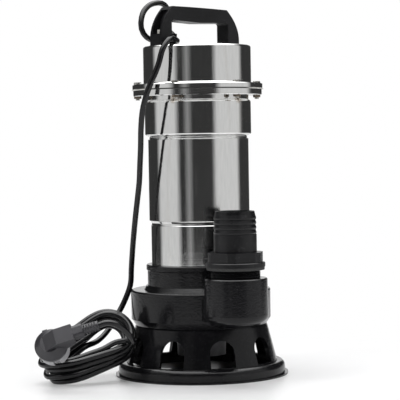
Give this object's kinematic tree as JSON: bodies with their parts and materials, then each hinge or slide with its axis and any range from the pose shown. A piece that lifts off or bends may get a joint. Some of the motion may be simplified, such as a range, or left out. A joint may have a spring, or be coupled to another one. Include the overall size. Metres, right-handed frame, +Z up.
{
  "type": "submersible sump pump",
  "caption": "Submersible sump pump: black cast strainer foot and volute, steel motor barrel and top can, carrying handle, upright barbed hose tail, and a mains cord in a hank with its plug.",
  "frame": {"origin": "pump axis at the floor, the centre of the floor plate's underside", "axes": "+Z up along the pump and motor axis, -Y towards the front, where the discharge stands to the right (+X)"},
  "size_m": [0.3025, 0.2589, 0.462],
  "materials": {
    "black_cast": "gloss black paint",
    "inner_iron": "as cast",
    "hard_steel": "ground",
    "bolt_steel": "bright",
    "dark_nut": "dull, slightly rusty",
    "black_plastic": "satin",
    "black_rubber": "matt",
    "ceramic": "polished",
    "carbon": "satin",
    "aluminium": "as cast",
    "bearing_steel": "ground",
    "core_steel": "laminated",
    "copper": "enamelled wire",
    "stainless": "polished stainless",
    "gasket": "matt",
    "capacitor_case": "satin",
    "terminal_plastic": "satin",
    "protector_case": "satin",
    "cord_rubber": "satin",
    "plug_black": "satin",
    "plug_grey": "matt",
    "pin_metal": "bright"
  },
  "bodies": {
    "pump": {"strainer_base": "black_cast", "base_plate": "black_cast", "base_screws": "bolt_steel", "casing_screws": "bolt_steel", "suction_cover": "inner_iron", "cutter_ring": "hard_steel", "volute_casing": "black_cast", "volute_bolts": "bolt_steel", "hose_tail": "black_plastic", "hose_tail_washer": "black_rubber", "oil_chamber": "black_cast", "oil_plug": "bolt_steel", "seal_seat": "ceramic", "lower_bracket": "aluminium", "barrel_o_ring": "black_rubber", "lower_bearing_outer": "bearing_steel", "stator_core": "core_steel", "stator_windings": "copper", "upper_bearing_outer": "bearing_steel", "motor_barrel": "stainless", "upper_bracket": "aluminium", "barrel_flange": "stainless", "flange_gasket": "gasket", "flange_bolts": "bolt_steel", "flange_nuts": "dark_nut", "top_cap": "stainless", "capacitor": "capacitor_case", "capacitor_clip": "bolt_steel", "terminal_block": "terminal_plastic", "thermal_protector": "protector_case", "gland_body": "black_plastic", "gland_seal": "black_rubber", "gland_nut": "black_plastic", "handle": "black_plastic", "handle_screws": "bolt_steel", "cord_run": "cord_rubber", "cord_hank": "cord_rubber", "cord_tail": "cord_rubber", "plug_body": "plug_black", "plug_strain_relief": "plug_black", "plug_face": "plug_grey", "plug_pins": "pin_metal"},
    "rotor": {"shaft": "bearing_steel", "rotor_core": "core_steel", "impeller": "inner_iron", "impeller_key": "bolt_steel", "spacer_sleeve": "bolt_steel", "cutter_blade": "hard_steel", "cutter_nut": "bolt_steel", "seal_face": "carbon", "seal_bellows": "black_rubber", "lower_bearing_inner": "bearing_steel", "upper_bearing_inner": "bearing_steel"},
    "lower_cage": {"lower_bearing_balls": "bearing_steel"},
    "upper_cage": {"upper_bearing_balls": "bearing_steel"}
  },
  "joints": [
    {"name": "rotor_spin", "type": "hinge", "parent": "pump", "child": "rotor", "pos_m": [0, 0, 0], "axis": [0, 0, 1], "continuous": true},
    {"name": "lower_cage_spin", "type": "hinge", "parent": "pump", "child": "lower_cage", "pos_m": [0, 0, 0.13], "axis": [0, 0, 1], "continuous": true},
    {"name": "upper_cage_spin", "type": "hinge", "parent": "pump", "child": "upper_cage", "pos_m": [0, 0, 0.33], "axis": [0, 0, 1], "continuous": true}
  ],
  "couplings": [
    {"joint": "lower_cage_spin", "follows": "rotor_spin", "ratio": 0.3807},
    {"joint": "upper_cage_spin", "follows": "rotor_spin", "ratio": 0.3807}
  ]
}
